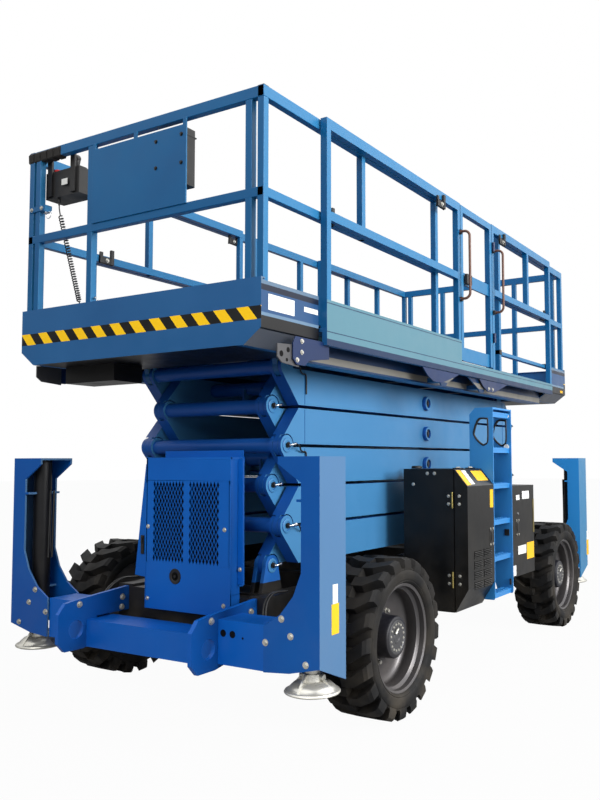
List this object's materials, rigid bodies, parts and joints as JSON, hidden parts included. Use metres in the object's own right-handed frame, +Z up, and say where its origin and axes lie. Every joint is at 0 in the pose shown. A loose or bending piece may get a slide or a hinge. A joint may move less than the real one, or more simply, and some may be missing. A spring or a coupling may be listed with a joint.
{
  "type": "rough terrain scissor lift",
  "caption": "Self-propelled rough terrain scissor lift, stowed: steered chassis with outriggers, stacked scissor arms and a railed roll-out platform.",
  "frame": {"origin": "on the ground under the middle of the machine", "axes": "+X towards the steered front axle, +Y towards the ladder side, +Z up"},
  "size_m": [4.766, 2.278, 3.178],
  "materials": {
    "chassis_blue": "gloss paint",
    "platform_blue": "gloss paint",
    "tyre_rubber": "matte",
    "rim_grey": "satin",
    "black_paint": "satin",
    "plated_steel": "zinc plated",
    "rod_chrome": "polished",
    "black_plastic": "matte"
  },
  "bodies": {
    "chassis": {"chassis_frame": "chassis_blue", "slide_tracks": "black_paint", "front_axle": "black_paint", "rear_axle": "black_paint", "front_beam": "chassis_blue", "rear_beam": "chassis_blue", "outrigger_front_left": "chassis_blue", "outrigger_front_right": "chassis_blue", "outrigger_rear_left": "chassis_blue", "outrigger_rear_right": "chassis_blue", "front_cover": "chassis_blue", "left_bay": "black_paint", "right_bay": "black_paint", "rear_bay": "black_paint", "engine_block": "black_paint", "ladder": "chassis_blue"},
    "inner_arms_1": {"arm_inner_1": "chassis_blue"},
    "outer_arms_1": {"arm_outer_1": "chassis_blue"},
    "inner_arms_2": {"arm_inner_2": "chassis_blue"},
    "outer_arms_2": {"arm_outer_2": "chassis_blue"},
    "inner_arms_3": {"arm_inner_3": "chassis_blue"},
    "outer_arms_3": {"arm_outer_3": "chassis_blue"},
    "inner_arms_4": {"arm_inner_4": "chassis_blue"},
    "outer_arms_4": {"arm_outer_4": "chassis_blue"},
    "inner_arms_5": {"arm_inner_5": "chassis_blue"},
    "outer_arms_5": {"arm_outer_5": "chassis_blue"},
    "platform": {"platform_deck": "platform_blue", "main_rails": "platform_blue"},
    "lift_barrel_lower": {"lift_barrel_lower": "black_paint"},
    "lift_rod_lower": {"lift_rod_lower": "rod_chrome"},
    "lift_barrel_upper": {"lift_barrel_upper": "black_paint"},
    "lift_rod_upper": {"lift_rod_upper": "rod_chrome"},
    "knuckle_left": {"knuckle_left": "black_paint"},
    "knuckle_right": {"knuckle_right": "black_paint"},
    "tie_rod": {"tie_rod": "chassis_blue"},
    "wheel_front_left": {"tyre_front_left": "tyre_rubber", "rim_front_left": "rim_grey"},
    "leg_front_left": {"leg_front_left": "plated_steel"},
    "wheel_front_right": {"tyre_front_right": "tyre_rubber", "rim_front_right": "rim_grey"},
    "leg_front_right": {"leg_front_right": "plated_steel"},
    "wheel_rear_left": {"tyre_rear_left": "tyre_rubber", "rim_rear_left": "rim_grey"},
    "leg_rear_left": {"leg_rear_left": "plated_steel"},
    "wheel_rear_right": {"tyre_rear_right": "tyre_rubber", "rim_rear_right": "rim_grey"},
    "leg_rear_right": {"leg_rear_right": "plated_steel"},
    "left_bay_door": {"left_bay_door": "black_paint"},
    "right_bay_door": {"right_bay_door": "black_paint"},
    "rear_bay_door": {"rear_bay_door": "black_paint"},
    "entry_gate": {"entry_gate": "platform_blue"},
    "front_extension": {"front_extension_deck": "platform_blue", "front_extension_rails": "platform_blue", "control_box": "black_plastic", "document_box": "black_plastic", "cord_coil": "black_plastic", "cord_tails": "black_plastic"},
    "rear_extension": {"rear_extension_deck": "platform_blue", "rear_extension_rails": "platform_blue"}
  },
  "joints": [
    {"name": "lift", "type": "hinge", "parent": "chassis", "child": "inner_arms_1", "pos_m": [1.675, 0, 0.794], "axis": [0, 1, 0], "range_deg": [0, 57.7]},
    {"name": "centre_pivot_1", "type": "hinge", "parent": "inner_arms_1", "child": "outer_arms_1", "pos_m": [-0.05, 0, 0.905], "axis": [0, 1, 0], "range_deg": [-115.5, 0.1]},
    {"name": "near_pivot_1", "type": "hinge", "parent": "outer_arms_1", "child": "outer_arms_2", "pos_m": [1.675, 0, 1.016], "axis": [0, 1, 0], "range_deg": [-0.1, 115.5]},
    {"name": "centre_pivot_2", "type": "hinge", "parent": "outer_arms_2", "child": "inner_arms_2", "pos_m": [-0.05, 0, 1.127], "axis": [0, 1, 0], "range_deg": [-115.5, 0.1]},
    {"name": "near_pivot_2", "type": "hinge", "parent": "inner_arms_2", "child": "inner_arms_3", "pos_m": [1.675, 0, 1.238], "axis": [0, 1, 0], "range_deg": [-0.1, 115.5]},
    {"name": "centre_pivot_3", "type": "hinge", "parent": "inner_arms_3", "child": "outer_arms_3", "pos_m": [-0.05, 0, 1.349], "axis": [0, 1, 0], "range_deg": [-115.5, 0.1]},
    {"name": "near_pivot_3", "type": "hinge", "parent": "outer_arms_3", "child": "outer_arms_4", "pos_m": [1.675, 0, 1.46], "axis": [0, 1, 0], "range_deg": [-0.1, 115.5]},
    {"name": "centre_pivot_4", "type": "hinge", "parent": "outer_arms_4", "child": "inner_arms_4", "pos_m": [-0.05, 0, 1.571], "axis": [0, 1, 0], "range_deg": [-115.5, 0.1]},
    {"name": "near_pivot_4", "type": "hinge", "parent": "inner_arms_4", "child": "inner_arms_5", "pos_m": [1.675, 0, 1.682], "axis": [0, 1, 0], "range_deg": [-0.1, 115.5]},
    {"name": "centre_pivot_5", "type": "hinge", "parent": "inner_arms_5", "child": "outer_arms_5", "pos_m": [-0.05, 0, 1.793], "axis": [0, 1, 0], "range_deg": [-115.5, 0.1]},
    {"name": "platform_pivot", "type": "hinge", "parent": "outer_arms_5", "child": "platform", "pos_m": [1.675, 0, 1.904], "axis": [0, 1, 0], "range_deg": [-0.1, 57.8]},
    {"name": "barrel_pivot_lower", "type": "hinge", "parent": "inner_arms_2", "child": "lift_barrel_lower", "pos_m": [-0.37077, 0, 1.10636], "axis": [0, 1, 0], "range_deg": [-10.89, 0.5]},
    {"name": "rod_slide_lower", "type": "slide", "parent": "lift_barrel_lower", "child": "lift_rod_lower", "axis": [0.9954, 0, 0.0961], "range_m": [-0.002, 0.614]},
    {"name": "barrel_pivot_upper", "type": "hinge", "parent": "inner_arms_4", "child": "lift_barrel_upper", "pos_m": [-0.37077, 0, 1.55036], "axis": [0, 1, 0], "range_deg": [-10.89, 0.5]},
    {"name": "rod_slide_upper", "type": "slide", "parent": "lift_barrel_upper", "child": "lift_rod_upper", "axis": [0.9954, 0, 0.0961], "range_m": [-0.002, 0.614]},
    {"name": "steer_left", "type": "hinge", "parent": "chassis", "child": "knuckle_left", "pos_m": [1.43, 0.7995, 0.427], "axis": [0, 0, 1], "range_deg": [-27, 27]},
    {"name": "steer_right", "type": "hinge", "parent": "chassis", "child": "knuckle_right", "pos_m": [1.43, -0.7995, 0.427], "axis": [0, 0, 1], "range_deg": [-27, 27]},
    {"name": "tie_rod_shift", "type": "slide", "parent": "chassis", "child": "tie_rod", "axis": [0, 1, 0], "range_m": [-0.081, 0.081]},
    {"name": "roll_front_left", "type": "hinge", "parent": "knuckle_left", "child": "wheel_front_left", "pos_m": [1.43, 0.9815, 0.427], "axis": [0, 1, 0], "continuous": true},
    {"name": "outrigger_front_left", "type": "slide", "parent": "chassis", "child": "leg_front_left", "axis": [0, 0, -1], "range_m": [0, 0.43]},
    {"name": "roll_front_right", "type": "hinge", "parent": "knuckle_right", "child": "wheel_front_right", "pos_m": [1.43, -0.9815, 0.427], "axis": [0, 1, 0], "continuous": true},
    {"name": "outrigger_front_right", "type": "slide", "parent": "chassis", "child": "leg_front_right", "axis": [0, 0, -1], "range_m": [0, 0.43]},
    {"name": "roll_rear_left", "type": "hinge", "parent": "chassis", "child": "wheel_rear_left", "pos_m": [-1.43, 0.9815, 0.427], "axis": [0, 1, 0], "continuous": true},
    {"name": "outrigger_rear_left", "type": "slide", "parent": "chassis", "child": "leg_rear_left", "axis": [0, 0, -1], "range_m": [0, 0.43]},
    {"name": "roll_rear_right", "type": "hinge", "parent": "chassis", "child": "wheel_rear_right", "pos_m": [-1.43, -0.9815, 0.427], "axis": [0, 1, 0], "continuous": true},
    {"name": "outrigger_rear_right", "type": "slide", "parent": "chassis", "child": "leg_rear_right", "axis": [0, 0, -1], "range_m": [0, 0.43]},
    {"name": "left_bay_hinge", "type": "hinge", "parent": "chassis", "child": "left_bay_door", "pos_m": [0.574, 1.04, 0.868], "axis": [0, 0, 1], "range_deg": [-110, 0]},
    {"name": "right_bay_hinge", "type": "hinge", "parent": "chassis", "child": "right_bay_door", "pos_m": [0.574, -1.04, 0.868], "axis": [0, 0, 1], "range_deg": [0, 110]},
    {"name": "rear_bay_hinge", "type": "hinge", "parent": "chassis", "child": "rear_bay_door", "pos_m": [-0.725, 1.1, 0.862], "axis": [0, 0, 1], "range_deg": [0, 110]},
    {"name": "gate_hinge", "type": "hinge", "parent": "platform", "child": "entry_gate", "pos_m": [0.137, 0.87, 2.6], "axis": [0, 0, 1], "range_deg": [0, 90]},
    {"name": "front_extension_slide", "type": "slide", "parent": "platform", "child": "front_extension", "axis": [1, 0, 0], "range_m": [0, 1.35]},
    {"name": "rear_extension_slide", "type": "slide", "parent": "platform", "child": "rear_extension", "axis": [-1, 0, 0], "range_m": [0, 1]}
  ],
  "couplings": [
    {"joint": "centre_pivot_1", "follows": "lift", "ratio": -2},
    {"joint": "near_pivot_1", "follows": "lift", "ratio": 2},
    {"joint": "centre_pivot_2", "follows": "lift", "ratio": -2},
    {"joint": "near_pivot_2", "follows": "lift", "ratio": 2},
    {"joint": "centre_pivot_3", "follows": "lift", "ratio": -2},
    {"joint": "near_pivot_3", "follows": "lift", "ratio": 2},
    {"joint": "centre_pivot_4", "follows": "lift", "ratio": -2},
    {"joint": "near_pivot_4", "follows": "lift", "ratio": 2},
    {"joint": "centre_pivot_5", "follows": "lift", "ratio": -2},
    {"joint": "platform_pivot", "follows": "lift", "ratio": 1},
    {"joint": "barrel_pivot_lower", "follows": "lift", "ratio": -0.18},
    {"joint": "rod_slide_lower", "follows": "lift", "m_per_rad": 0.6},
    {"joint": "barrel_pivot_upper", "follows": "lift", "ratio": -0.18},
    {"joint": "rod_slide_upper", "follows": "lift", "m_per_rad": 0.6},
    {"joint": "steer_right", "follows": "steer_left", "ratio": 1},
    {"joint": "tie_rod_shift", "follows": "steer_left", "m_per_rad": -0.163}
  ]
}
